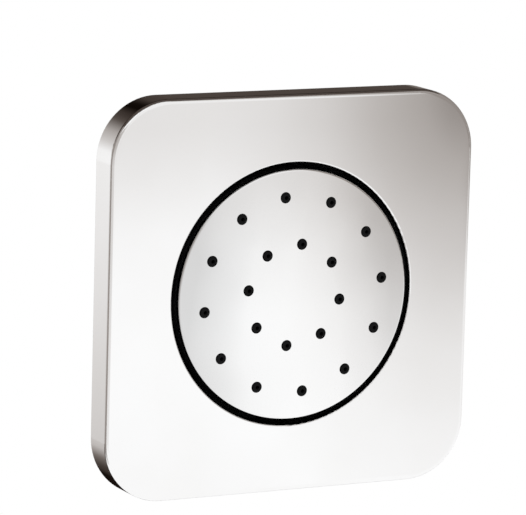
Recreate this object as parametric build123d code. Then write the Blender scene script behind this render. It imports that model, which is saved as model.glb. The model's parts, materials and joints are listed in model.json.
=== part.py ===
from build123d import *
import math
import os

# Shower body jet: a square chromed wall plate with a round spray head that swivels on a ball joint.
# Millimetres. The wall is the plane Y = 0, the spray leaves towards -Y, +Z is up.
# Depths along Y are negative in front of the wall and positive inside it.

# Face plate
plate_border = 16.8
plate_corner = 15.5
plate_depth = 9.0
plate_wall = 2.0
plate_edge_round = 1.2
opening_gap = 1.7
opening_edge_round = 0.3

# Spray disc
disc_proud = 0.6
disc_thickness = 1.6
disc_dome = 0.5
disc_edge_round = 0.5

# Nozzles, on two rings that share one radial line, rolled to the angle at rest
head_roll_angle = 37.0
outer_ring_radius = 24.7
outer_ring_count = 12
inner_ring_radius = 12.8
inner_ring_count = 8
nozzle_radius = 1.3
nozzle_tip_radius = 1.12
nozzle_proud = 0.5
nozzle_tip_round = 0.25
nozzle_bore_radius = 0.5
nozzle_root_bore_radius = 0.9
nozzle_clearance = 0.12
mat_thickness = 1.5
mat_side_gap = 0.1

# Chamber behind the mat
chamber_rim_inset = 0.3
chamber_wall = 2.0
water_depth = 2.6
water_edge = 0.3
mat_clamp_width = 1.1
mat_wall = 0.7
support_rib_width = 1.2
support_rib_count = 8
support_rib_start = 9.0

# Disc screws and the bosses that take them
screw_count = 6
screw_radius = 0.95
screw_bite = 2.4
pilot_spare = 0.2
screw_hole_clearance = 0.15
screw_head_radius = 1.75
screw_head_height = 1.2
screw_slot_width = 0.5
screw_slot_depth = 0.6
screw_edge = 0.1
boss_wall = 0.6
boss_length = 2.6
boss_clearance = 0.1

# Ball joint
ball_radius = 9.0
bore_radius = 4.0
neck_wall = 1.5
ball_face_land = 1.6
joint_clearance = 0.1
seal_thickness = 1.5
seal_overlap_angle = 5.5
seal_end_angle = 84.0
throat_ledge = 0.85
throat_lip = 1.0
hub_wall = 2.8
seat_setback = 1.0
seat_margin_angle = 2.5
slip_washer_thickness = 0.5
running_gap = 0.05
nut_flange = 2.0
nut_wall = 2.6
nut_thread_length = 6.5
nut_notch_count = 6
nut_notch_width = 4.0
nut_notch_depth = 1.2
thread_clearance = 0.1
stop_angle = 12.0
swing_angle = 10.0
swing_clearance = 0.8

# Inlet
bulkhead_radius = 11.0
collar_land = 2.5
collar_thickness = 3.0
bulkhead_spare = 1.5
relief_width = 1.5
relief_depth = 1.1
inlet_radius = 10.4775
inlet_length = 15.0
inlet_chamfer = 1.0
insert_bore_radius = 7.6
insert_recess = 1.0
insert_clearance = 0.1

# Clamp parts on the bulkhead thread
stem_seal_thickness = 1.0
stem_seal_land = 3.2
lock_washer_thickness = 1.0
lock_washer_land = 4.6
lock_washer_teeth = 12
lock_washer_tooth_gap = 1.6
lock_nut_land = 4.0
lock_nut_thickness = 6.0

# Flow regulator and strainer
regulator_length = 4.0
regulator_wall = 1.5
regulator_core_radius = 2.2
regulator_spoke_width = 1.2
regulator_spoke_count = 3
regulator_spoke_length = 1.6
regulator_ring_section = 0.8
strainer_length = 5.0
strainer_wall = 1.0
strainer_slot_width = 1.0
strainer_slot_count = 8
strainer_slot_margin = 0.9
strainer_hole_radius = 0.6
strainer_hole_ring = 3.6

# Housing in the wall
bowl_margin = 1.8
bowl_wall = 2.2
bowl_straight = 9.0
bowl_floor_margin = 2.4
bowl_back_wall = 2.5
bowl_rib_count = 8
bowl_rib_width = 2.0
bowl_rib_height = 4.0
bowl_rib_inset = 0.5
flange_thickness = 3.0
flange_rim_wall = 2.0
wall_screw_radius = 2.25
wall_screw_edge = 5.0
groove_land = 1.4
groove_width = 2.4
groove_depth = 1.5
groove_outer_land = 2.0
gasket_thickness = 1.6
gasket_clearance = 0.1

# Grub screw in the underside of the plate
grub_radius = 1.45
grub_clearance = 0.05
grub_recess = 0.5
grub_tip_radius = 0.7
grub_tip_length = 0.8
grub_socket_across_flats = 1.5
grub_socket_depth = 1.6
grub_boss_width = 10.0
grub_boss_wall = 0.8
grub_boss_gap = 0.5

# Depths from the front of the head to the back of the inlet
plate_front = -plate_depth
plate_inner_face = plate_front + plate_wall
disc_rim_front = plate_front - disc_proud
disc_back = disc_rim_front + disc_thickness
mat_back = disc_back + mat_thickness
water_back = mat_back + water_depth
chamber_back = water_back + chamber_wall

neck_radius = bore_radius + neck_wall
neck_angle = math.degrees(math.asin(neck_radius / ball_radius))
ball_face_radius = bore_radius + ball_face_land
ball_face_angle = math.degrees(math.asin(ball_face_radius / ball_radius))
seal_inner = ball_radius + joint_clearance
seal_outer = seal_inner + seal_thickness
seal_start_angle = ball_face_angle + seal_overlap_angle
hub_bore = seal_outer + joint_clearance
hub_radius = hub_bore + hub_wall
throat_radius = seal_outer * math.sin(math.radians(seal_start_angle)) - throat_ledge
pivot = water_back + throat_lip + math.sqrt(hub_bore**2 - throat_radius**2)

ball_front = pivot - math.sqrt(ball_radius**2 - ball_face_radius**2)
seat_front = pivot + seat_setback
seat_end_angle = neck_angle + stop_angle + seat_margin_angle
seat_back = pivot + seal_inner * math.cos(math.radians(seat_end_angle))
washer_front = seat_back + running_gap
washer_back = washer_front + slip_washer_thickness
nut_back = washer_back + nut_flange
nut_front = washer_back - nut_thread_length
nut_bore = hub_radius + thread_clearance
nut_radius = nut_bore + nut_wall
hub_back = washer_front - running_gap

# The nut's mouth clears the ball and meets the neck at the stop angle
stop = math.radians(stop_angle)
neck_mouth = (neck_radius + (nut_back - pivot) * math.sin(stop)) / math.cos(stop)
ball_mouth = math.sqrt(max(seal_inner**2 - (washer_front - pivot) ** 2, 0))
nut_mouth = max(neck_mouth, ball_mouth)
swing = math.radians(swing_angle)
nut_swing_back = pivot + (nut_back - pivot) * math.cos(swing) + nut_radius * math.sin(swing)

collar_front = nut_swing_back + swing_clearance
collar_back = collar_front + collar_thickness
bowl_floor = collar_back + stem_seal_thickness
bowl_back = bowl_floor + bowl_back_wall
lock_nut_front = bowl_back + lock_washer_thickness
lock_nut_back = lock_nut_front + lock_nut_thickness
bulkhead_end = lock_nut_back + bulkhead_spare
inlet_start = bulkhead_end + relief_width
inlet_end = inlet_start + inlet_length
insert_floor = inlet_end - insert_recess - strainer_length - regulator_length

# Radii and widths from the outer nozzles to the plate's edge
water_radius = outer_ring_radius + nozzle_root_bore_radius + water_edge
mat_radius = water_radius + mat_clamp_width
boss_radius = screw_radius + boss_wall
screw_circle = mat_radius + mat_wall + boss_clearance + boss_radius
chamber_radius = screw_circle + screw_head_radius + screw_edge
disc_radius = chamber_radius + chamber_rim_inset
disc_crown = disc_rim_front - disc_dome
dome_radius = (disc_radius**2 + disc_dome**2) / (2 * disc_dome)
opening_radius = disc_radius + opening_gap
plate_size = 2 * (opening_radius + plate_border)
cavity_size = plate_size - 2 * plate_wall
cavity_corner = plate_corner - plate_wall
bowl_radius = opening_radius + bowl_margin
bowl_outer = bowl_radius + bowl_wall
groove_inner = bowl_outer + groove_land
groove_outer = groove_inner + groove_width
flange_size = 2 * (groove_outer + groove_outer_land)
gasket_width = (cavity_size - flange_size) / 2
smallest_corner = 0.5
flange_corner = max(cavity_corner - gasket_width, smallest_corner)
flange_rim_corner = max(flange_corner - flange_rim_wall, smallest_corner)
wall_screw_position = flange_size / 2 - flange_rim_wall - wall_screw_edge

collar_across_flats = 2 * (bulkhead_radius + collar_land)
lock_nut_across_flats = 2 * (bulkhead_radius + lock_nut_land)
collar_corner_radius = collar_across_flats / math.sqrt(3)
bowl_floor_radius = collar_corner_radius + bowl_floor_margin

# Boss for the grub screw, on the inside of the plate's bottom wall
grub_hole_radius = grub_radius + grub_clearance
grub_depth = plate_inner_face + grub_boss_wall + grub_hole_radius
grub_boss_back = grub_depth + grub_hole_radius + grub_boss_wall
grub_boss_foot = -cavity_size / 2
grub_boss_top = -flange_size / 2 - grub_boss_gap


def turned(points):
    """A solid turned about the Y axis from a closed outline of (radius, depth) points."""
    with BuildPart() as solid:
        with BuildSketch(Plane.XY):
            with BuildLine():
                Polyline(*points, close=True)
            make_face()
        revolve(axis=Axis.Y)
    return solid.part


def ring(inner, outer, front, back):
    """A plain ring or washer about the Y axis."""
    return turned([(inner, front), (outer, front), (outer, back), (inner, back)])


def rod(radius, front, back):
    """A plain cylinder on the Y axis."""
    return turned([(0, front), (radius, front), (radius, back), (0, back)])


def square_block(size, corner, front, back):
    """A rounded square block about the Y axis."""
    with BuildPart() as solid:
        with BuildSketch(Plane.XZ.offset(-back)):
            RectangleRounded(size, size, corner)
        extrude(amount=back - front)
    return solid.part


def hexagon_block(across_flats, front, back):
    """A hexagonal block about the Y axis."""
    with BuildPart() as solid:
        with BuildSketch(Plane.XZ.offset(-back)):
            RegularPolygon(across_flats / 2, 6, major_radius=False)
        extrude(amount=back - front)
    return solid.part


def around(shape, count, start=0.0):
    """Copies of a shape, evenly turned about the Y axis, anticlockwise seen from the front."""
    step = 360.0 / count
    return [Rot(0, -start - step * i, 0) * shape for i in range(count)]


def on_ring(shape, radius, count, start=0.0):
    """Copies of a shape on a ring about the Y axis."""
    return around(Pos(radius, 0, 0) * shape, count, start)


def circle_edges(shape, radius):
    """The circular edges of one radius, from front to back."""
    circles = shape.edges().filter_by(GeomType.CIRCLE)
    return circles.filter_by(lambda edge: abs(edge.radius - radius) < 1e-6).sort_by(Axis.Y)


def disc_front_at(radius):
    """Depth of the disc's domed front at a radius."""
    return disc_crown + dome_radius - math.sqrt(dome_radius**2 - radius**2)


def make_face_plate():
    plate = square_block(plate_size, plate_corner, plate_front, 0)
    plate -= square_block(cavity_size, cavity_corner, plate_inner_face, 0)
    front_face = plate.faces().sort_by(Axis.Y)[0]
    plate = fillet(front_face.edges(), plate_edge_round)
    plate -= rod(opening_radius, plate_front, plate_inner_face)
    plate = fillet(circle_edges(plate, opening_radius)[0], opening_edge_round)

    plate += make_grub_boss(0)
    hole_length = grub_boss_top + plate_size / 2
    hole_middle = grub_boss_top - hole_length / 2
    return plate - Pos(0, grub_depth, hole_middle) * Cylinder(grub_hole_radius, hole_length)


def make_grub_boss(margin):
    """The block that takes the grub screw, grown all round by a margin."""
    middle = Pos(0, (plate_inner_face + grub_boss_back) / 2, (grub_boss_foot + grub_boss_top) / 2)
    return middle * Box(
        grub_boss_width + 2 * margin,
        grub_boss_back - plate_inner_face + 2 * margin,
        grub_boss_top - grub_boss_foot + 2 * margin,
    )


def make_grub_screw():
    foot = -plate_size / 2 + grub_recess
    tip = -flange_size / 2
    shoulder = tip - grub_tip_length
    with BuildPart() as screw:
        with BuildSketch(Plane.XZ):
            with BuildLine():
                Polyline(
                    (0, foot),
                    (grub_radius, foot),
                    (grub_radius, shoulder),
                    (grub_tip_radius, tip),
                    (0, tip),
                    close=True,
                )
            make_face()
        revolve(axis=Axis.Z)
        with BuildSketch(Plane.XY.offset(foot)):
            RegularPolygon(grub_socket_across_flats / 2, 6, major_radius=False)
        extrude(amount=grub_socket_depth, mode=Mode.SUBTRACT)
    return Pos(0, grub_depth, 0) * screw.part


def make_plate_gasket():
    outer = square_block(
        cavity_size - 2 * gasket_clearance, cavity_corner - gasket_clearance, -gasket_thickness, 0
    )
    inner = square_block(
        flange_size + 2 * gasket_clearance, flange_corner + gasket_clearance, -gasket_thickness, 0
    )
    return outer - inner - make_grub_boss(gasket_clearance)


def make_bowl_rib():
    """One stiffening rib on the outside of the bowl's cone, rooted half way into its wall."""
    root = bowl_wall / 2
    crest = bowl_outer - bowl_rib_inset
    with BuildPart() as rib:
        with BuildSketch(Plane.XY):
            with BuildLine():
                Polyline(
                    (bowl_radius + root, bowl_straight),
                    (crest, bowl_straight),
                    (crest, bowl_straight + bowl_rib_height),
                    (bowl_floor_radius + bowl_wall + bowl_rib_height, bowl_back),
                    (bowl_floor_radius + root, bowl_back),
                    close=True,
                )
            make_face()
        extrude(amount=bowl_rib_width / 2, both=True)
    return rib.part


def make_wall_housing():
    housing = square_block(flange_size, flange_corner, plate_inner_face, 0)
    housing -= square_block(
        flange_size - 2 * flange_rim_wall, flange_rim_corner, plate_inner_face, -flange_thickness
    )
    outside = [
        (0, -flange_thickness),
        (bowl_outer, -flange_thickness),
        (bowl_outer, bowl_straight),
        (bowl_floor_radius + bowl_wall, bowl_back),
        (0, bowl_back),
    ]
    inside = [
        (0, -flange_thickness),
        (bowl_radius, -flange_thickness),
        (bowl_radius, bowl_straight),
        (bowl_floor_radius, bowl_floor),
        (0, bowl_floor),
    ]
    housing += turned(outside)
    housing += around(make_bowl_rib(), bowl_rib_count, 180.0 / bowl_rib_count)
    housing -= turned(inside)
    housing -= rod(bulkhead_radius + thread_clearance, bowl_floor, bowl_back)
    housing -= ring(groove_inner, groove_outer, -groove_depth, 0)
    hole = rod(wall_screw_radius, -flange_thickness, 0)
    for x in (-wall_screw_position, wall_screw_position):
        for z in (-wall_screw_position, wall_screw_position):
            housing -= Pos(x, 0, z) * hole
    return housing


def make_flange_seal():
    return ring(
        groove_inner + gasket_clearance, groove_outer - gasket_clearance, -groove_depth, 0
    )


def make_ball_inlet():
    # Sphere cut flat in front, then neck, bulkhead thread, relief and inlet thread
    ball = Pos(0, pivot, 0) * Sphere(ball_radius)
    ball -= rod(ball_radius, pivot - ball_radius, ball_front)
    thread_root = inlet_radius - relief_depth
    stem = turned(
        [
            (0, pivot),
            (neck_radius, pivot),
            (neck_radius, collar_front),
            (bulkhead_radius, collar_front),
            (bulkhead_radius, bulkhead_end),
            (thread_root, bulkhead_end),
            (thread_root, inlet_start),
            (inlet_radius, inlet_start),
            (inlet_radius, inlet_end - inlet_chamfer),
            (inlet_radius - inlet_chamfer, inlet_end),
            (0, inlet_end),
        ]
    )
    inlet = ball + stem + hexagon_block(collar_across_flats, collar_front, collar_back)
    inlet -= rod(bore_radius, ball_front, insert_floor)
    return inlet - rod(insert_bore_radius, insert_floor, inlet_end)


def make_stem_seal():
    inner = bulkhead_radius + thread_clearance
    return ring(inner, inner + stem_seal_land, collar_back, bowl_floor)


def make_lock_washer():
    inner = bulkhead_radius + thread_clearance
    outer = inner + lock_washer_land
    washer = ring(inner, outer, bowl_back, lock_nut_front)
    middle = (bowl_back + lock_nut_front) / 2
    gap_length = lock_washer_land / 2
    gap = Pos(outer - gap_length / 2, middle, 0) * Box(
        gap_length, lock_washer_thickness, lock_washer_tooth_gap
    )
    return washer - around(gap, lock_washer_teeth)


def make_lock_nut():
    nut = hexagon_block(lock_nut_across_flats, lock_nut_front, lock_nut_back)
    corner = lock_nut_across_flats / math.sqrt(3)
    flat = lock_nut_across_flats / 2
    drop = (corner - flat) * math.tan(math.radians(30))
    nut &= turned(
        [
            (0, lock_nut_front),
            (corner, lock_nut_front),
            (corner, lock_nut_back - drop),
            (flat, lock_nut_back),
            (0, lock_nut_back),
        ]
    )
    return nut - rod(bulkhead_radius + thread_clearance, lock_nut_front, lock_nut_back)


def regulator_back():
    """Depth where the regulator ends and the strainer starts."""
    return insert_floor + regulator_length


def make_flow_regulator():
    outer = insert_bore_radius - insert_clearance
    body = ring(outer - regulator_wall, outer, insert_floor, regulator_back())
    body += rod(regulator_core_radius, insert_floor, regulator_back())
    spoke_span = outer - regulator_wall / 2
    spoke = Pos(spoke_span / 2, insert_floor + regulator_spoke_length / 2, 0) * Box(
        spoke_span, regulator_spoke_length, regulator_spoke_width
    )
    return body + around(spoke, regulator_spoke_count)


def make_regulator_o_ring():
    centre_radius = regulator_core_radius + regulator_ring_section + insert_clearance
    depth = insert_floor + regulator_spoke_length + regulator_ring_section
    with BuildPart() as o_ring:
        with BuildSketch(Plane.XY):
            with Locations((centre_radius, depth)):
                Circle(regulator_ring_section)
        revolve(axis=Axis.Y)
    return o_ring.part


def make_inlet_strainer():
    outer = insert_bore_radius - insert_clearance
    inner = outer - strainer_wall
    front = regulator_back()
    back = front + strainer_length
    cup = turned(
        [
            (inner, front),
            (outer, front),
            (outer, back - strainer_wall),
            (inner, back),
            (0, back),
            (0, back - strainer_wall),
            (inner, back - strainer_wall),
        ]
    )
    slot_length = strainer_length - strainer_wall - 2 * strainer_slot_margin
    slot_middle = front + strainer_slot_margin + slot_length / 2
    slot = Pos(outer, slot_middle, 0) * Box(3 * strainer_wall, slot_length, strainer_slot_width)
    cup -= around(slot, strainer_slot_count)
    hole = rod(strainer_hole_radius, back - strainer_wall, back)
    cup -= on_ring(hole, strainer_hole_ring, strainer_slot_count)
    return cup - hole


def polar_point(radius, angle):
    """(radius, depth) of a point on a sphere about the pivot, by its angle from the front."""
    turn = math.radians(angle)
    return radius * math.sin(turn), pivot - radius * math.cos(turn)


def make_cup_seal():
    start_inner = polar_point(seal_inner, seal_start_angle)
    start_outer = polar_point(seal_outer, seal_start_angle)
    end_inner = polar_point(seal_inner, seal_end_angle)
    end_outer = polar_point(seal_outer, seal_end_angle)
    middle = (seal_start_angle + seal_end_angle) / 2
    with BuildPart() as seal:
        with BuildSketch(Plane.XY):
            with BuildLine():
                Line(start_inner, start_outer)
                ThreePointArc(start_outer, polar_point(seal_outer, middle), end_outer)
                Line(end_outer, end_inner)
                ThreePointArc(end_inner, polar_point(seal_inner, middle), start_inner)
            make_face()
        revolve(axis=Axis.Y)
    return seal.part


def make_rear_seat():
    seat = rod(hub_bore - joint_clearance, seat_front, seat_back)
    return seat - Pos(0, pivot, 0) * Sphere(ball_radius + joint_clearance)


def make_slip_washer():
    return ring(nut_mouth, hub_bore - joint_clearance, washer_front, washer_back)


def make_ball_nut():
    nut = turned(
        [
            (nut_mouth, washer_back),
            (nut_bore, washer_back),
            (nut_bore, nut_front),
            (nut_radius, nut_front),
            (nut_radius, nut_back),
            (nut_mouth, nut_back),
        ]
    )
    length = nut_back - nut_front
    notch = Pos(nut_radius, nut_front + length / 2, 0) * Box(
        2 * nut_notch_depth, length, nut_notch_width
    )
    return nut - around(notch, nut_notch_count)


def make_spray_disc():
    dome = Pos(0, disc_crown + dome_radius, 0) * Sphere(dome_radius)
    disc = rod(disc_radius, disc_crown, disc_back) & dome
    disc = fillet(circle_edges(disc, disc_radius)[0], disc_edge_round)
    hole = rod(nozzle_radius + nozzle_clearance, disc_crown, disc_back)
    disc -= on_ring(hole, outer_ring_radius, outer_ring_count, head_roll_angle)
    disc -= on_ring(hole, inner_ring_radius, inner_ring_count, head_roll_angle)
    boss = rod(boss_radius, disc_back, disc_back + boss_length)
    disc += on_ring(boss, screw_circle, screw_count, head_roll_angle)
    boss_back = disc_back + boss_length
    pilot = rod(screw_radius, boss_back - screw_bite - pilot_spare, boss_back)
    return disc - on_ring(pilot, screw_circle, screw_count, head_roll_angle)


def make_nozzle(ring_radius):
    """One nozzle about the Y axis, from the back of the mat to its rounded tip."""
    tip = disc_front_at(ring_radius) - nozzle_proud
    with BuildPart() as nozzle:
        with BuildSketch(Plane.XY):
            with BuildLine():
                Polyline(
                    (0, mat_back),
                    (nozzle_radius, mat_back),
                    (nozzle_radius, disc_rim_front),
                    (nozzle_tip_radius, tip),
                    (0, tip),
                    close=True,
                )
            make_face()
        revolve(axis=Axis.Y)
    return fillet(circle_edges(nozzle.part, nozzle_tip_radius)[0], nozzle_tip_round)


def make_nozzle_bore(ring_radius):
    """The water way through one nozzle: a wide root that narrows to the jet."""
    tip = disc_front_at(ring_radius) - nozzle_proud
    return turned(
        [
            (0, mat_back),
            (nozzle_root_bore_radius, mat_back),
            (nozzle_bore_radius, disc_back),
            (nozzle_bore_radius, tip),
            (0, tip),
        ]
    )


def make_nozzle_mat():
    mat = rod(mat_radius - mat_side_gap, disc_back, mat_back)
    rings = ((outer_ring_radius, outer_ring_count), (inner_ring_radius, inner_ring_count))
    for radius, count in rings:
        mat += on_ring(make_nozzle(radius), radius, count, head_roll_angle)
    for radius, count in rings:
        mat -= on_ring(make_nozzle_bore(radius), radius, count, head_roll_angle)
    return mat


def make_spray_chamber():
    pan = turned(
        [
            (throat_radius, water_back),
            (water_radius, water_back),
            (water_radius, mat_back),
            (mat_radius, mat_back),
            (mat_radius, disc_back),
            (chamber_radius, disc_back),
            (chamber_radius, chamber_back),
            (hub_radius, chamber_back),
            (hub_radius, hub_back),
            (hub_bore, hub_back),
            (hub_bore, pivot),
            (throat_radius, pivot),
        ]
    )
    pan -= Pos(0, pivot, 0) * Sphere(hub_bore)

    # Ribs hold the mat between the nozzles, half an outer step either side of the shared radial lines
    rib_length = water_radius - support_rib_start
    rib = Pos(support_rib_start + rib_length / 2, (mat_back + water_back) / 2, 0) * Box(
        rib_length, water_depth, support_rib_width
    )
    half_step = 180.0 / outer_ring_count
    for start in (head_roll_angle - half_step, head_roll_angle + half_step):
        pan += around(rib, support_rib_count // 2, start)

    boss_well = rod(boss_radius + boss_clearance, disc_back, disc_back + boss_length)
    pan -= on_ring(boss_well, screw_circle, screw_count, head_roll_angle)
    screw_hole = rod(screw_radius + screw_hole_clearance, disc_back + boss_length, chamber_back)
    return pan - on_ring(screw_hole, screw_circle, screw_count, head_roll_angle)


def make_disc_screws():
    tip = disc_back + boss_length - screw_bite
    head_back = chamber_back + screw_head_height
    screw = rod(screw_radius, tip, chamber_back)
    screw += rod(screw_head_radius, chamber_back, head_back)
    screw = fillet(circle_edges(screw, screw_head_radius)[-1], screw_head_height / 2)
    slot = Pos(0, head_back - screw_slot_depth / 2, 0)
    screw -= slot * Box(2 * screw_head_radius, screw_slot_depth, screw_slot_width)
    return Compound(children=on_ring(screw, screw_circle, screw_count, head_roll_angle))


pieces = {
    "face_plate": make_face_plate,
    "grub_screw": make_grub_screw,
    "plate_gasket": make_plate_gasket,
    "wall_housing": make_wall_housing,
    "flange_seal": make_flange_seal,
    "ball_inlet": make_ball_inlet,
    "stem_seal": make_stem_seal,
    "lock_washer": make_lock_washer,
    "lock_nut": make_lock_nut,
    "flow_regulator": make_flow_regulator,
    "regulator_o_ring": make_regulator_o_ring,
    "inlet_strainer": make_inlet_strainer,
    "cup_seal": make_cup_seal,
    "rear_seat": make_rear_seat,
    "slip_washer": make_slip_washer,
    "ball_nut": make_ball_nut,
    "spray_disc": make_spray_disc,
    "nozzle_mat": make_nozzle_mat,
    "spray_chamber": make_spray_chamber,
    "disc_screws": make_disc_screws,
}

os.makedirs("parts", exist_ok=True)
for name, make in pieces.items():
    export_step(make(), f"parts/{name}.step")

print(f"pivot depth {pivot:.4f}, inlet from {inlet_start:.4f} to {inlet_end:.4f}")
print(f"plate {plate_size:.2f} square, wall screws {2 * wall_screw_position:.2f} apart")
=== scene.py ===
import json
import math

import bmesh
import bpy
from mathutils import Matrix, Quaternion, Vector


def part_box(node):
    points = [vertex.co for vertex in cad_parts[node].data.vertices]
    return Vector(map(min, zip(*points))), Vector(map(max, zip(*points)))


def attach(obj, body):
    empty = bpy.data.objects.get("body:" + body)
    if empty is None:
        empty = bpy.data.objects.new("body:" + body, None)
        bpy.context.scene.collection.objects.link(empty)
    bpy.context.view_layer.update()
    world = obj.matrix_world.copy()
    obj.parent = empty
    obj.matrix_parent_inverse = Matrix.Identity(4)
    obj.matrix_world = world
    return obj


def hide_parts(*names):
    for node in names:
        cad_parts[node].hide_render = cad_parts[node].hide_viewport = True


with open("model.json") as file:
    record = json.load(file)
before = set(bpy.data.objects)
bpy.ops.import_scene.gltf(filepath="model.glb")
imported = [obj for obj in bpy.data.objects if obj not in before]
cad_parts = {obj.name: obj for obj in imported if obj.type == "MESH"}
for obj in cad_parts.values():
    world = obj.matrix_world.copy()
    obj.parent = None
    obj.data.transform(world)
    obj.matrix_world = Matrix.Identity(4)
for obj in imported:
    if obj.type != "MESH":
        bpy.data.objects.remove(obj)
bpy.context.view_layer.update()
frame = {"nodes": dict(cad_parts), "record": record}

# Looks of a shower body jet: a square chromed plate with a round spray head on a ball joint.
# Metres. The wall is the plane Y = 0, the spray leaves towards -Y, and +Z is up.

nodes = frame["nodes"]
MM = 0.001

# Camera, fitted to the plate's edges and the ring of the photograph
CAMERA_PLACE = Vector((-459.73, -899.83, 185.58)) * MM
CAMERA_AIM = Vector((-8.2, -8.51, 9.63)) * MM
CAMERA_ROLL = math.radians(1.562)
CAMERA_LENS = 281.2
CAMERA_SENSOR = 36.0
CAMERA_NEAR = 0.01
CAMERA_FAR = 100.0

# Inlet, with the sizes of its CAD node
BALL_RADIUS = 9.0 * MM
BORE_RADIUS = 4.0 * MM
NECK_RADIUS = 5.5 * MM
BALL_FACE_RADIUS = 5.6 * MM
PIVOT_DEPTH = frame["record"]["behaviour"]["joints"][0]["pos_m"][1]
COLLAR_FLATS = 27.0 * MM
COLLAR_THICKNESS = 3.0 * MM
COLLAR_CHAMFER = 0.4 * MM
BULKHEAD_RADIUS = 11.0 * MM
BULKHEAD_PITCH = 1.5 * MM
BULKHEAD_SPARE = 1.5 * MM
BULKHEAD_CHAMFER = 0.5 * MM
RELIEF_WIDTH = 1.5 * MM
INLET_RADIUS = 10.4775 * MM
INLET_PITCH = 1.814 * MM
INLET_CHAMFER = 1.0 * MM
INSERT_BORE_RADIUS = 7.6 * MM

# Threads: depth as a share of the pitch, and depths of the form along one pitch
THREAD_DEPTH_SHARE = 0.62
THREAD_FORM = (0.0, 0.0, 0.3, 0.7, 1.0, 1.0, 0.7, 0.3)

# Mesh of the inlet
TURN_STEPS = 96
BALL_STEPS = 28
WELD_DISTANCE = 0.001 * MM
SHARP_ANGLE = math.radians(62)

# Patterns: the range that a noise pattern fills, and the pull of turning marks round the axis
PATTERN_LOW = 0.3
PATTERN_HIGH = 0.7
TURNING_PULL = 0.02

# Painted shade on the spray disc, its chrome colour darker towards two sides in place of dimmer
# reflections there: place across it in millimetres, level of its chrome
DISC_PAINTED_SHADE = (
    (-30.0, 0.69),
    (-12.0, 0.905),
    (0.0, 0.958),
    (13.0, 0.962),
    (21.0, 0.91),
    (30.0, 0.82),
)

# Studio: places in metres, levels from 0, black, to 1, the white of the background
WORLD_LIGHT = 0.55
WORLD_WHITE = 1.0
FLOOR_HEIGHT = -0.5
FLOOR_SIZE = 3.0
FLOOR_FADE_RADIUS = 1.5
FLOOR_FADE_SHARE = 0.5
FLOOR_LEVEL = 0.86
WARM_GREEN = 1.09
WARM_BLUE = 1.15

# Front card, with its grey spot
FRONT_CARD_WIDTH = 0.6
FRONT_CARD_HEIGHT = 0.4
FRONT_CARD_PLACE = (0.157, -0.2, 0.028)
FRONT_CARD_EDGE = (
    (-0.118, 1.01),
    (-0.078, 1.03),
    (-0.048, 0.985),
    (-0.028, 0.87),
    (-0.016, 0.815),
)
FRONT_CARD_COVER = ((-0.3, 0.0), (-0.2, 1.0))
SPOT_REACH = 0.11
SPOT_STRETCH = 1.8
SPOT_LEVELS = (
    (1.0, 0.99),
    (0.8, 1.01),
    (0.6, 0.94),
    (0.45, 0.83),
    (0.3, 0.65),
    (0.15, 0.52),
    (0.0, 0.25),
)

# Other cards and flags: distance from the middle, level or cover
UPPER_CARD_LEVELS = ((-0.17, 0.9), (-0.152, 0.8), (-0.13, 0.49), (-0.118, 0.38), (0.32, 0.3))
LEFT_CARD_LEVELS = ((-0.26, 1.0), (-0.05, 0.68), (0.15, 0.5))
LEFT_CARD_COVER = ((-0.35, 0.0), (-0.25, 1.0), (0.25, 1.0), (0.35, 0.0))
RIGHT_CARD_LEVELS = (
    (-0.2, 1.0),
    (-0.09, 0.95),
    (-0.05, 0.83),
    (-0.033, 0.64),
    (-0.01, 0.41),
    (0.03, 0.3),
)
RIGHT_FLAG_LEVELS = (
    (-0.3, 1.0),
    (-0.1, 0.86),
    (-0.086, 0.66),
    (-0.066, 0.47),
    (-0.054, 0.32),
    (0.5, 0.25),
)
SIDE_FLAG_LEVELS = ((-0.6, 1.0), (-0.25, 0.3), (0.6, 0.3))
ROOF_FLAG_LEVELS = ((-0.45, 0.07), (0.45, 0.09))
BACK_LEFT_LEVELS = (
    (-0.355, 0.045),
    (-0.307, 0.18),
    (-0.235, 0.52),
    (-0.175, 0.66),
    (-0.1, 0.84),
    (-0.03, 0.95),
    (0.05, 0.93),
    (0.14, 0.64),
    (0.235, 0.42),
    (0.31, 0.09),
    (0.345, 0.03),
)
BACK_LEFT_COVER = ((-1.05, 0.0), (-0.97, 1.0))
BACK_RIGHT_LEVELS = (
    (-0.3, 0.008),
    (-0.25, 0.04),
    (-0.213, 0.3),
    (-0.15, 0.5),
    (-0.03, 0.28),
    (0.08, 0.19),
    (0.14, 0.066),
    (0.27, 0.055),
    (0.325, 0.005),
)


def set_stops(ramp, stops):
    """Gives a colour ramp its (position, colour) stops."""
    elements = ramp.color_ramp.elements
    while len(elements) < len(stops):
        elements.new(0.5)
    for element, (position, colour) in zip(elements, stops):
        element.position = position
        element.color = (*colour, 1.0)


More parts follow.
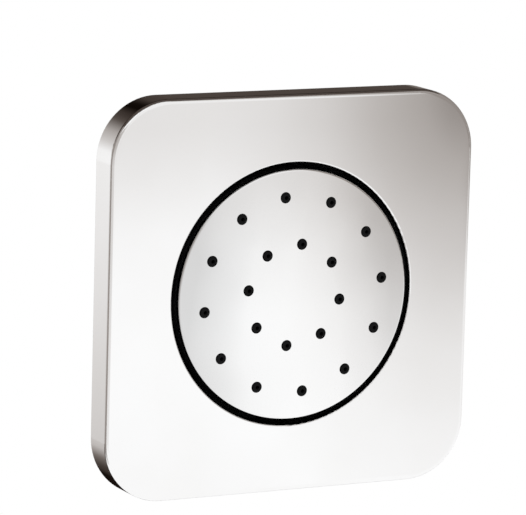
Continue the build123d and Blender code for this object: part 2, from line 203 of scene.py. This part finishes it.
class Surface:
    """A Principled material with detail from patterns in object coordinates, in millimetres."""

    def __init__(self, name, colour, metallic=0.0, roughness=0.5):
        self.material = bpy.data.materials.new(name)
        self.material.use_nodes = True
        self.nodes = self.material.node_tree.nodes
        self.links = self.material.node_tree.links
        self.shader = self.nodes["Principled BSDF"]
        self.set("Base Color", (*colour, 1.0))
        self.set("Metallic", metallic)
        self.set("Roughness", roughness)
        place = self.nodes.new("ShaderNodeTexCoord")
        scale = self.nodes.new("ShaderNodeVectorMath")
        scale.operation = "SCALE"
        scale.inputs["Scale"].default_value = 1.0 / MM
        self.links.new(place.outputs["Object"], scale.inputs[0])
        self.place = scale.outputs[0]
        self.normal = None

    def set(self, socket, value):
        self.shader.inputs[socket].default_value = value

    def noise(self, size, detail=2.0, distortion=0.0):
        node = self.nodes.new("ShaderNodeTexNoise")
        node.inputs["Scale"].default_value = 1.0 / size
        node.inputs["Detail"].default_value = detail
        node.inputs["Distortion"].default_value = distortion
        self.links.new(self.place, node.inputs["Vector"])
        return node.outputs["Fac"]

    def cells(self, size):
        node = self.nodes.new("ShaderNodeTexVoronoi")
        node.inputs["Scale"].default_value = 1.0 / size
        self.links.new(self.place, node.inputs["Vector"])
        return node.outputs["Distance"]

    def turning_marks(self, size, detail=3.0):
        """Fine lines round the Y axis, as a lathe tool leaves them."""
        squeeze = self.nodes.new("ShaderNodeMapping")
        squeeze.inputs["Scale"].default_value = (TURNING_PULL, 1.0 / size, TURNING_PULL)
        node = self.nodes.new("ShaderNodeTexNoise")
        node.inputs["Scale"].default_value = 1.0
        node.inputs["Detail"].default_value = detail
        self.links.new(self.place, squeeze.inputs["Vector"])
        self.links.new(squeeze.outputs["Vector"], node.inputs["Vector"])
        return node.outputs["Fac"]

    def spread(self, pattern, low, high, start=PATTERN_LOW, end=PATTERN_HIGH):
        """The pattern stretched from start..end to low..high."""
        node = self.nodes.new("ShaderNodeMapRange")
        node.inputs["From Min"].default_value = start
        node.inputs["From Max"].default_value = end
        node.inputs["To Min"].default_value = low
        node.inputs["To Max"].default_value = high
        self.links.new(pattern, node.inputs["Value"])
        return node.outputs["Result"]

    def vary_roughness(self, pattern, low, high):
        self.links.new(self.spread(pattern, low, high), self.shader.inputs["Roughness"])

    def colour_ramp(self, pattern, stops):
        """The base colour from (position, colour) stops along a pattern."""
        ramp = self.nodes.new("ShaderNodeValToRGB")
        set_stops(ramp, stops)
        self.links.new(pattern, ramp.inputs["Fac"])
        self.links.new(ramp.outputs["Color"], self.shader.inputs["Base Color"])

    def vary_colour(self, pattern, dark, light):
        self.colour_ramp(pattern, ((PATTERN_LOW, dark), (PATTERN_HIGH, light)))

    def grey_across(self, reach, drift, drift_size, levels):
        """Grey levels across X from -reach to reach, pushed about by a soft drift, in millimetres."""
        split = self.nodes.new("ShaderNodeSeparateXYZ")
        self.links.new(self.place, split.inputs["Vector"])
        wander = self.spread(self.noise(drift_size, detail=1.0), -drift, drift)
        shift = self.nodes.new("ShaderNodeMath")
        shift.operation = "ADD"
        self.links.new(split.outputs["X"], shift.inputs[0])
        self.links.new(wander, shift.inputs[1])
        stops = [(place / reach / 2 + 0.5, (level,) * 3) for place, level in levels]
        self.colour_ramp(self.spread(shift.outputs[0], 0.0, 1.0, -reach, reach), stops)

    def soften_edges(self, radius):
        node = self.nodes.new("ShaderNodeBevel")
        node.inputs["Radius"].default_value = radius * MM
        self.use_normal(node.outputs["Normal"])

    def bump(self, pattern, height):
        node = self.nodes.new("ShaderNodeBump")
        node.inputs["Strength"].default_value = 1.0
        node.inputs["Distance"].default_value = height * MM
        self.links.new(pattern, node.inputs["Height"])
        if self.normal is not None:
            self.links.new(self.normal, node.inputs["Normal"])
        self.use_normal(node.outputs["Normal"])

    def use_normal(self, normal):
        self.normal = normal
        self.links.new(normal, self.shader.inputs["Normal"])


def plate_chrome(name):
    """Polished chrome: a faint haze, long polishing waves and a trace of orange peel."""
    surface = Surface(name, colour=(0.95, 0.95, 0.952), metallic=1.0)
    surface.vary_roughness(surface.noise(size=14.0, detail=4.0), low=0.045, high=0.085)
    tint = surface.noise(size=22.0, detail=3.0)
    surface.vary_colour(tint, dark=(0.935, 0.933, 0.93), light=(0.955, 0.955, 0.958))
    surface.soften_edges(radius=0.25)
    surface.bump(surface.noise(size=9.0, detail=1.0), height=0.0012)
    surface.bump(surface.noise(size=1.1, detail=1.0), height=0.00012)
    return surface.material


def disc_chrome(name):
    """Chrome over a moulding: softer and more rippled than the plate, with painted shade that darkens
    its colour towards two sides.
    """
    surface = Surface(name, colour=(0.95, 0.95, 0.952), metallic=1.0)
    surface.vary_roughness(surface.noise(size=9.0, detail=4.0), low=0.07, high=0.13)
    # painted shade: the chrome's colour darkens towards the left and right, standing in for dimmer
    # reflections there
    surface.grey_across(reach=32.0, drift=4.0, drift_size=24.0, levels=DISC_PAINTED_SHADE)
    surface.bump(surface.noise(size=8.0, detail=1.0), height=0.004)
    surface.bump(surface.noise(size=1.6), height=0.0004)
    return surface.material


def silicone(name):
    """Black moulded silicone of the nozzle mat."""
    surface = Surface(name, colour=(0.006, 0.006, 0.0062))
    tint = surface.noise(size=3.0)
    surface.vary_colour(tint, dark=(0.004, 0.004, 0.0042), light=(0.008, 0.008, 0.0085))
    surface.vary_roughness(surface.noise(size=1.5, detail=3.0), low=0.55, high=0.72)
    surface.set("Specular IOR Level", 0.08)
    surface.soften_edges(radius=0.06)
    surface.bump(surface.noise(size=0.18), height=0.004)
    return surface.material


def moulded_plastic(name, dark, light, grain, edge):
    """Spark-eroded moulded plastic with faint flow marks."""
    surface = Surface(name, colour=light)
    surface.vary_colour(surface.noise(size=16.0, detail=5.0, distortion=0.6), dark, light)
    surface.vary_roughness(surface.noise(size=2.2, detail=4.0), low=0.42, high=0.6)
    surface.set("Specular IOR Level", 0.45)
    surface.soften_edges(radius=edge)
    surface.bump(surface.noise(size=7.0, detail=1.0), height=0.02)
    surface.bump(surface.noise(size=grain), height=0.012)
    return surface.material


def chamber_plastic(name):
    """Black plastic of the spray chamber."""
    dark, light = (0.008, 0.008, 0.0085), (0.014, 0.014, 0.015)
    return moulded_plastic(name, dark, light, grain=0.12, edge=0.15)


def housing_plastic(name):
    """Dark grey plastic of the wall housing."""
    dark, light = (0.045, 0.047, 0.05), (0.07, 0.073, 0.077)
    return moulded_plastic(name, dark, light, grain=0.16, edge=0.25)


def turned_brass(name):
    """Turned brass, a little dulled in patches."""
    surface = Surface(name, colour=(0.78, 0.58, 0.28), metallic=1.0)
    patches = surface.noise(size=6.0, detail=5.0, distortion=0.4)
    surface.vary_colour(patches, dark=(0.71, 0.51, 0.235), light=(0.83, 0.64, 0.34))
    surface.vary_roughness(surface.noise(size=3.0, detail=4.0), low=0.2, high=0.36)
    surface.soften_edges(radius=0.2)
    surface.bump(surface.turning_marks(size=0.16), height=0.002)
    return surface.material


def seal_rubber(name):
    """Black seal rubber with a dusty bloom."""
    surface = Surface(name, colour=(0.02, 0.02, 0.02))
    bloom = surface.noise(size=5.0, detail=4.0)
    surface.vary_colour(bloom, dark=(0.014, 0.014, 0.0145), light=(0.03, 0.03, 0.031))
    surface.vary_roughness(surface.noise(size=2.0, detail=3.0), low=0.5, high=0.72)
    surface.soften_edges(radius=0.15)
    surface.bump(surface.noise(size=0.3), height=0.006)
    return surface.material


def cell_foam(name):
    """Closed-cell gasket foam: small open bubbles on a cut face, with painted shade darkening each
    bubble's pit.
    """
    surface = Surface(name, colour=(0.05, 0.05, 0.055), roughness=0.9)
    pits_and_painted_shade = surface.cells(size=0.45)
    # painted shade: each bubble is coloured darker towards its middle, where its pit is deepest
    surface.vary_colour(pits_and_painted_shade, dark=(0.025, 0.025, 0.027), light=(0.075, 0.075, 0.08))
    surface.vary_roughness(surface.noise(size=1.0), low=0.82, high=0.95)
    surface.set("Specular IOR Level", 0.2)
    surface.bump(pits_and_painted_shade, height=0.12)
    return surface.material


def waxy_plastic(name):
    """White acetal, slightly waxy."""
    surface = Surface(name, colour=(0.8, 0.8, 0.77))
    tint = surface.noise(size=4.0, detail=3.0)
    surface.vary_colour(tint, dark=(0.76, 0.755, 0.72), light=(0.83, 0.83, 0.805))
    surface.vary_roughness(surface.noise(size=1.6, detail=3.0), low=0.3, high=0.46)
    surface.set("Subsurface Weight", 0.08)
    surface.set("Subsurface Radius", (0.0012, 0.0011, 0.0009))
    surface.soften_edges(radius=0.12)
    surface.bump(surface.noise(size=0.35), height=0.004)
    return surface.material


def passivated_steel(name):
    """Stainless steel of the screws and the toothed washer."""
    surface = Surface(name, colour=(0.6, 0.6, 0.61), metallic=1.0)
    tint = surface.noise(size=1.8, detail=4.0)
    surface.vary_colour(tint, dark=(0.5, 0.5, 0.51), light=(0.66, 0.66, 0.67))
    surface.vary_roughness(surface.noise(size=0.9, detail=4.0), low=0.24, high=0.42)
    surface.soften_edges(radius=0.1)
    surface.bump(surface.noise(size=0.15), height=0.003)
    return surface.material


def dress(material, *names):
    """Gives CAD nodes their material."""
    for name in names:
        slots = nodes[name].data.materials
        slots.clear()
        slots.append(material)


def dress_nodes():
    """Dresses every CAD node, and returns the brass for the threaded inlet."""
    brass = turned_brass("turned_brass")
    rubber = seal_rubber("seal_rubber")
    acetal = waxy_plastic("white_acetal")
    steel = passivated_steel("passivated_steel")
    dress(plate_chrome("plate_chrome"), "face_plate")
    dress(disc_chrome("disc_chrome"), "spray_disc")
    dress(silicone("black_silicone"), "nozzle_mat")
    dress(chamber_plastic("chamber_plastic"), "spray_chamber")
    dress(housing_plastic("housing_plastic"), "wall_housing")
    dress(brass, "lock_nut", "ball_nut", "ball_inlet")
    dress(rubber, "cup_seal", "flange_seal", "stem_seal", "regulator_o_ring")
    dress(cell_foam("gasket_foam"), "plate_gasket")
    dress(acetal, "rear_seat", "slip_washer", "flow_regulator", "inlet_strainer")
    dress(steel, "disc_screws", "grub_screw", "lock_washer")
    return brass


def turned_mesh(rows):
    """Points and faces of rows about the Y axis. A row's turn ends its lead of rows further on."""
    points = []
    for row, _ in rows:
        for turn, (radius, depth) in enumerate(row):
            angle = 2 * math.pi * turn / TURN_STEPS
            points.append((radius * math.cos(angle), depth, radius * math.sin(angle)))
    faces = []
    for index, (_, lead) in enumerate(rows[:-1]):
        for turn in range(TURN_STEPS):
            after = (turn + 1) % TURN_STEPS
            skip = 0 if after else lead
            here = index * TURN_STEPS + turn
            there = (index + skip) * TURN_STEPS + after
            faces.append((here, here + TURN_STEPS, there + TURN_STEPS, there))
    return points, faces


def turned_piece(name, rows, material):
    """A closed, smooth-shaded mesh object from rows round the Y axis, with its sharp edges kept."""
    points, faces = turned_mesh(rows)
    mesh = bpy.data.meshes.new(name)
    mesh.from_pydata(points, [], faces)
    shape = bmesh.new()
    shape.from_mesh(mesh)
    bmesh.ops.remove_doubles(shape, verts=shape.verts, dist=WELD_DISTANCE)
    shape.to_mesh(mesh)
    shape.free()
    mesh.shade_smooth()
    mesh.set_sharp_from_angle(angle=SHARP_ANGLE)
    mesh.materials.append(material)
    piece = bpy.data.objects.new(name, mesh)
    bpy.context.scene.collection.objects.link(piece)
    return piece


def plain_row(radius, depth):
    """One round row: its (radius, depth) points and no lead."""
    return [(radius, depth)] * TURN_STEPS, 0


def hexagon_row(flats, inset, depth):
    """One hexagonal row with corners on the X axis, drawn in by an inset."""
    points = []
    for turn in range(TURN_STEPS):
        off = 2 * math.pi * turn / TURN_STEPS % (math.pi / 3) - math.pi / 6
        points.append((flats / 2 / math.cos(off) - inset, depth))
    return points, 0


def thread_form(phase):
    """Share of the thread's depth at a place along its form, counted in steps."""
    step = math.floor(phase)
    share = phase - step
    near = THREAD_FORM[step % len(THREAD_FORM)]
    far = THREAD_FORM[(step + 1) % len(THREAD_FORM)]
    return near + (far - near) * share


def thread_rows(radius, pitch, start, end, chamfer):
    """Rows along a thread's helix, cut off square at both ends and chamfered at the far one."""
    steps = len(THREAD_FORM)
    last = math.ceil((end - start) / pitch * steps)
    rows = []
    for row in range(-steps, last + steps + 1):
        points = []
        for turn in range(TURN_STEPS):
            free = start + pitch * (row / steps + turn / TURN_STEPS)
            depth = min(max(free, start), end)
            form = thread_form(row - (free - depth) / pitch * steps)
            cut = radius - THREAD_DEPTH_SHARE * pitch * form
            bevel = radius - max(0.0, chamfer - (end - depth))
            points.append((min(cut, bevel), depth))
        rows.append((points, steps if row < last else 0))
    return rows


def ball_rows(front):
    """Rows of the ball from its flat face to the neck."""
    rows = [plain_row(BORE_RADIUS, front), plain_row(BALL_FACE_RADIUS, front)]
    first = math.asin(BALL_FACE_RADIUS / BALL_RADIUS)
    last = math.pi - math.asin(NECK_RADIUS / BALL_RADIUS)
    for step in range(1, BALL_STEPS + 1):
        angle = first + (last - first) * step / BALL_STEPS
        depth = PIVOT_DEPTH - BALL_RADIUS * math.cos(angle)
        rows.append(plain_row(BALL_RADIUS * math.sin(angle), depth))
    return rows


def collar_rows(front, back):
    """Rows of the hexagonal collar with its chamfered rims."""
    return [
        hexagon_row(COLLAR_FLATS, COLLAR_CHAMFER, front),
        hexagon_row(COLLAR_FLATS, 0.0, front + COLLAR_CHAMFER / 2),
        hexagon_row(COLLAR_FLATS, 0.0, back - COLLAR_CHAMFER / 2),
        hexagon_row(COLLAR_FLATS, COLLAR_CHAMFER, back),
    ]


def inlet_rows():
    """Rows of the ball, neck, collar, bulkhead thread, relief, inlet thread and bores."""
    ball_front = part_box("ball_inlet")[0].y
    inlet_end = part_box("ball_inlet")[1].y
    collar_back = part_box("stem_seal")[0].y
    collar_front = collar_back - COLLAR_THICKNESS
    bulkhead_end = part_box("lock_nut")[1].y + BULKHEAD_SPARE
    inlet_start = bulkhead_end + RELIEF_WIDTH
    insert_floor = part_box("flow_regulator")[0].y
    relief_radius = INLET_RADIUS - THREAD_DEPTH_SHARE * INLET_PITCH
    bulkhead = (BULKHEAD_RADIUS, BULKHEAD_PITCH, collar_back, bulkhead_end, BULKHEAD_CHAMFER)
    inlet = (INLET_RADIUS, INLET_PITCH, inlet_start, inlet_end, INLET_CHAMFER)

    rows = ball_rows(ball_front)
    rows.append(plain_row(NECK_RADIUS, collar_front))
    rows += collar_rows(collar_front, collar_back)
    rows += thread_rows(*bulkhead)
    rows.append(plain_row(relief_radius, bulkhead_end))
    rows.append(plain_row(relief_radius, inlet_start))
    rows += thread_rows(*inlet)
    rows.append(plain_row(INSERT_BORE_RADIUS, inlet_end))
    rows.append(plain_row(INSERT_BORE_RADIUS, insert_floor))
    rows.append(plain_row(BORE_RADIUS, insert_floor))
    rows.append(plain_row(BORE_RADIUS, ball_front))
    return rows


def make_inlet(material):
    """The ball inlet with its real threads, in the place of its CAD node."""
    piece = turned_piece("threaded_inlet", inlet_rows(), material)
    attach(piece, "wall_set")
    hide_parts("ball_inlet")


def combined(tree, operation, first, second):
    """The result of a math operation on two sockets."""
    node = tree.nodes.new("ShaderNodeMath")
    node.operation = operation
    tree.links.new(first, node.inputs[0])
    tree.links.new(second, node.inputs[1])
    return node.outputs[0]


def mixed(tree, factor, first, second):
    """The shader between two others, the first at factor 0 and the second at 1."""
    node = tree.nodes.new("ShaderNodeMixShader")
    tree.links.new(factor, node.inputs["Fac"])
    tree.links.new(first, node.inputs[1])
    tree.links.new(second, node.inputs[2])
    return node.outputs[0]


def seen_factor(tree):
    """1 for rays from the camera, in metal and through glass, 0 for light on the object."""
    path = tree.nodes.new("ShaderNodeLightPath").outputs
    direct = combined(tree, "MAXIMUM", path["Is Camera Ray"], path["Is Glossy Ray"])
    return combined(tree, "MAXIMUM", direct, path["Is Transmission Ray"])


def white_background(node, strength):
    """Sets a background node to white of some strength."""
    node.inputs["Color"].default_value = (1.0, 1.0, 1.0, 1.0)
    node.inputs["Strength"].default_value = strength
    return node.outputs[0]


def make_world():
    """White behind the object and in its metal, softer as light."""
    world = bpy.data.worlds.new("studio")
    world.use_nodes = True
    bpy.context.scene.world = world
    tree = world.node_tree
    light = white_background(tree.nodes["Background"], WORLD_LIGHT)
    white = white_background(tree.nodes.new("ShaderNodeBackground"), WORLD_WHITE)
    look = mixed(tree, seen_factor(tree), light, white)
    tree.links.new(look, tree.nodes["World Output"].inputs["Surface"])


def plane(name, width, height, place, facing, material):
    """A stage plane with its middle at a place, facing along a direction, its own Y axis up."""
    right, top = width / 2, height / 2
    corners = [(-right, -top, 0), (right, -top, 0), (right, top, 0), (-right, top, 0)]
    mesh = bpy.data.meshes.new(name)
    mesh.from_pydata(corners, [], [(0, 1, 2, 3)])
    mesh.materials.append(material)
    stage = bpy.data.objects.new(name, mesh)
    stage.location = place
    stage.rotation_mode = "QUATERNION"
    stage.rotation_quaternion = Vector(facing).to_track_quat("Z", "Y")
    bpy.context.scene.collection.objects.link(stage)
    return stage


def bare_material(name):
    """A material with only its output, and its node tree."""
    material = bpy.data.materials.new(name)
    material.use_nodes = True
    tree = material.node_tree
    tree.nodes.clear()
    tree.nodes.new("ShaderNodeOutputMaterial")
    return material, tree


def set_surface(tree, shader):
    """Shows a shader on the material's surface."""
    tree.links.new(shader, tree.nodes["Material Output"].inputs["Surface"])


def floor_cover(tree, fade_radius):
    """1 over the middle of the floor, 0 towards its rim and from below."""
    place = tree.nodes.new("ShaderNodeTexCoord")
    scale = tree.nodes.new("ShaderNodeMapping")
    scale.inputs["Scale"].default_value = (1 / fade_radius, 1 / fade_radius, 1.0)
    ball = tree.nodes.new("ShaderNodeTexGradient")
    ball.gradient_type = "SPHERICAL"
    ramp = tree.nodes.new("ShaderNodeMapRange")
    ramp.inputs["From Min"].default_value = 0.0
    ramp.inputs["From Max"].default_value = FLOOR_FADE_SHARE
    tree.links.new(place.outputs["Object"], scale.inputs["Vector"])
    tree.links.new(scale.outputs["Vector"], ball.inputs["Vector"])
    tree.links.new(ball.outputs["Fac"], ramp.inputs["Value"])
    geometry = tree.nodes.new("ShaderNodeNewGeometry")
    above = tree.nodes.new("ShaderNodeMath")
    above.operation = "SUBTRACT"
    above.inputs[0].default_value = 1.0
    tree.links.new(geometry.outputs["Backfacing"], above.inputs[1])
    return combined(tree, "MULTIPLY", above.outputs[0], ramp.outputs["Result"])


def floor_material():
    """Pale floor, white in the metal, that fades out towards its rim and isn't there from below."""
    material, tree = bare_material("pale_floor")
    paint = tree.nodes.new("ShaderNodeBsdfDiffuse")
    paint.inputs["Color"].default_value = (FLOOR_LEVEL, FLOOR_LEVEL, FLOOR_LEVEL, 1.0)
    white = tree.nodes.new("ShaderNodeEmission")
    clear = tree.nodes.new("ShaderNodeBsdfTransparent")
    path = tree.nodes.new("ShaderNodeLightPath")
    look = mixed(tree, path.outputs["Is Glossy Ray"], paint.outputs[0], white.outputs[0])
    cover = floor_cover(tree, FLOOR_FADE_RADIUS)
    set_surface(tree, mixed(tree, cover, clear.outputs[0], look))
    return material


def warm(level):
    """A grey level as the studio's slightly warm shade, warmer the darker it is."""
    return (level, level**WARM_GREEN, level**WARM_BLUE)


def gradient_layer(tree, kind, size, turn, start, stops):
    """A gradient over a card in its own coordinates, coloured by (position, level) stops."""
    place = tree.nodes.new("ShaderNodeTexCoord")
    fit = tree.nodes.new("ShaderNodeMapping")
    fit.inputs["Scale"].default_value = (1 / size[0], 1 / size[1], 1.0)
    fit.inputs["Rotation"].default_value = (0, 0, turn)
    fit.inputs["Location"].default_value = (start, 0, 0)
    fade = tree.nodes.new("ShaderNodeTexGradient")
    fade.gradient_type = kind
    ramp = tree.nodes.new("ShaderNodeValToRGB")
    set_stops(ramp, [(position, warm(level)) for position, level in stops])
    tree.links.new(place.outputs["Object"], fit.inputs["Vector"])
    tree.links.new(fit.outputs["Vector"], fade.inputs["Vector"])
    tree.links.new(fade.outputs["Fac"], ramp.inputs["Fac"])
    return ramp.outputs["Color"]


def rising_layer(tree, height, levels):
    """Levels up a card of some height, from (height above its middle, level) pairs."""
    stops = [(rise / height + 0.5, level) for rise, level in levels]
    return gradient_layer(tree, "LINEAR", (1.0, height), math.radians(-90), 0.5, stops)


def crossing_layer(tree, width, levels):
    """Levels across a card that faces +Y, from (distance to +X from its middle, level) pairs."""
    stops = [(reach / width + 0.5, level) for reach, level in levels]
    return gradient_layer(tree, "LINEAR", (width, 1.0), math.radians(180), 0.5, stops)


def round_layer(tree, width, height, levels):
    """Levels round a card's middle, from (share of the reach, level) pairs, the farthest first."""
    stops = [(1.0 - share, level) for share, level in levels]
    return gradient_layer(tree, "SPHERICAL", (width, height), 0.0, 0.0, stops)


def multiplied(tree, first, second):
    """The product of two colours."""
    node = tree.nodes.new("ShaderNodeMix")
    node.data_type = "RGBA"
    node.blend_type = "MULTIPLY"
    node.inputs["Factor"].default_value = 1.0
    tree.links.new(first, node.inputs["A"])
    tree.links.new(second, node.inputs["B"])
    return node.outputs["Result"]


def glow(name):
    """An emission material with its tree and its emission node."""
    material, tree = bare_material(name)
    light = tree.nodes.new("ShaderNodeEmission")
    set_surface(tree, light.outputs[0])
    return material, tree, light


def fade_sides(tree, light, width, cover):
    """Lets a card fade out across its width, from (distance from its middle, cover) pairs."""
    clear = tree.nodes.new("ShaderNodeBsdfTransparent")
    factor = crossing_layer(tree, width, cover)
    set_surface(tree, mixed(tree, factor, clear.outputs[0], light.outputs[0]))


def only_in_metal(card):
    """A card that only shows as a reflection."""
    card.visible_camera = False
    card.visible_diffuse = False
    card.visible_shadow = False
    card.visible_transmission = False
    card.visible_volume_scatter = False


def strip_card(name, width, height, place, facing, levels, cover=None):
    """A reflected card whose level changes from its lower to its upper edge."""
    material, tree, light = glow(name)
    tree.links.new(rising_layer(tree, height, levels), light.inputs["Color"])
    if cover:
        fade_sides(tree, light, width, cover)
    only_in_metal(plane(name, width, height, place, facing, material))


def crossing_card(name, width, height, place, levels):
    """A reflected card that faces +Y, whose level changes from its left to its right edge."""
    material, tree, light = glow(name)
    tree.links.new(crossing_layer(tree, width, levels), light.inputs["Color"])
    only_in_metal(plane(name, width, height, place, (0, 1, 0), material))


def spot_card(name, width, height, place):
    """The white card in front, with a grey spot up on the right and a darker upper edge."""
    material, tree, light = glow(name)
    spot = round_layer(tree, SPOT_REACH, SPOT_REACH * SPOT_STRETCH, SPOT_LEVELS)
    edge = rising_layer(tree, height, FRONT_CARD_EDGE)
    tree.links.new(multiplied(tree, spot, edge), light.inputs["Color"])
    fade_sides(tree, light, width, FRONT_CARD_COVER)
    only_in_metal(plane(name, width, height, place, (0, 1, 0), material))


def make_front_cards():
    """The cards in front of the wall, which the plate's face and left edge reflect."""
    spot_card("front_card", FRONT_CARD_WIDTH, FRONT_CARD_HEIGHT, FRONT_CARD_PLACE)
    crossing_card(
        "upper_card",
        width=0.64,
        height=0.54,
        place=(0.28, -0.199, 0.33),
        levels=UPPER_CARD_LEVELS,
    )
    strip_card(
        "left_card",
        width=0.7,
        height=0.8,
        place=(-0.42, -0.36, 0.0),
        facing=(7, 6, 0),
        levels=LEFT_CARD_LEVELS,
        cover=LEFT_CARD_COVER,
    )
    strip_card(
        "right_card",
        width=0.4,
        height=0.4,
        place=(0.357, -0.198, 0.0),
        facing=(0, 1, 0),
        levels=RIGHT_CARD_LEVELS,
    )


def make_flags():
    """The darker flags beside and above, which the plate's rounded edges reflect."""
    strip_card(
        "right_flag",
        width=0.8,
        height=1.0,
        place=(0.6, 0.2, 0.0),
        facing=(-1, 0, 0),
        levels=RIGHT_FLAG_LEVELS,
    )
    strip_card(
        "roof_flag",
        width=2.4,
        height=0.9,
        place=(0.3, 0.15, 0.7),
        facing=(0, 0, -1),
        levels=ROOF_FLAG_LEVELS,
    )
    strip_card(
        "side_flag",
        width=0.46,
        height=1.2,
        place=(-0.6, 0.06, 0.0),
        facing=(1, 0, 0),
        levels=SIDE_FLAG_LEVELS,
    )


def make_back_cards():
    """The cards behind the wall plane, which the plate's outer walls and corners reflect."""
    strip_card(
        "back_left_card",
        width=2.1,
        height=2.0,
        place=(-1.05, 0.599, 0.0),
        facing=(0, -1, 0),
        levels=BACK_LEFT_LEVELS,
        cover=BACK_LEFT_COVER,
    )
    strip_card(
        "back_right_card",
        width=2.0,
        height=2.0,
        place=(0.9, 0.6, 0.0),
        facing=(0, -1, 0),
        levels=BACK_RIGHT_LEVELS,
    )


def make_stage():
    """Pale floor below, and the cards and flags that the chrome reflects."""
    plane("floor", FLOOR_SIZE, FLOOR_SIZE, (0, 0, FLOOR_HEIGHT), (0, 0, 1), floor_material())
    make_front_cards()
    make_flags()
    make_back_cards()


def area_lamp(name, place, size, power):
    """A soft lamp aimed at the plate, left out of the metal's reflections."""
    data = bpy.data.lights.new(name, "AREA")
    data.shape = "DISK"
    data.size = size
    data.energy = power
    lamp = bpy.data.objects.new(name, data)
    lamp.location = place
    lamp.rotation_mode = "QUATERNION"
    lamp.rotation_quaternion = (-Vector(place)).to_track_quat("-Z", "Y")
    lamp.visible_glossy = False
    bpy.context.scene.collection.objects.link(lamp)


def make_lamps():
    """One lamp in front and two behind, for the pieces that aren't chromed."""
    area_lamp("key", place=(-0.9, -1.2, 1.3), size=0.9, power=12.0)
    area_lamp("back_left", place=(-1.0, 1.3, 1.0), size=0.8, power=9.0)
    area_lamp("back_right", place=(1.3, 0.9, 0.5), size=0.8, power=6.0)


def make_camera():
    """The photograph's camera."""
    data = bpy.data.cameras.new("camera")
    data.lens = CAMERA_LENS
    data.sensor_width = CAMERA_SENSOR
    data.clip_start = CAMERA_NEAR
    data.clip_end = CAMERA_FAR
    camera = bpy.data.objects.new("camera", data)
    camera.location = CAMERA_PLACE
    camera.rotation_mode = "QUATERNION"
    look = (CAMERA_AIM - CAMERA_PLACE).to_track_quat("-Z", "Y")
    camera.rotation_quaternion = look @ Quaternion((0, 0, 1), CAMERA_ROLL)
    bpy.context.scene.collection.objects.link(camera)
    bpy.context.scene.camera = camera


make_inlet(dress_nodes())
bpy.context.scene.view_settings.view_transform = "Standard"
make_world()
make_stage()
make_lamps()
make_camera()
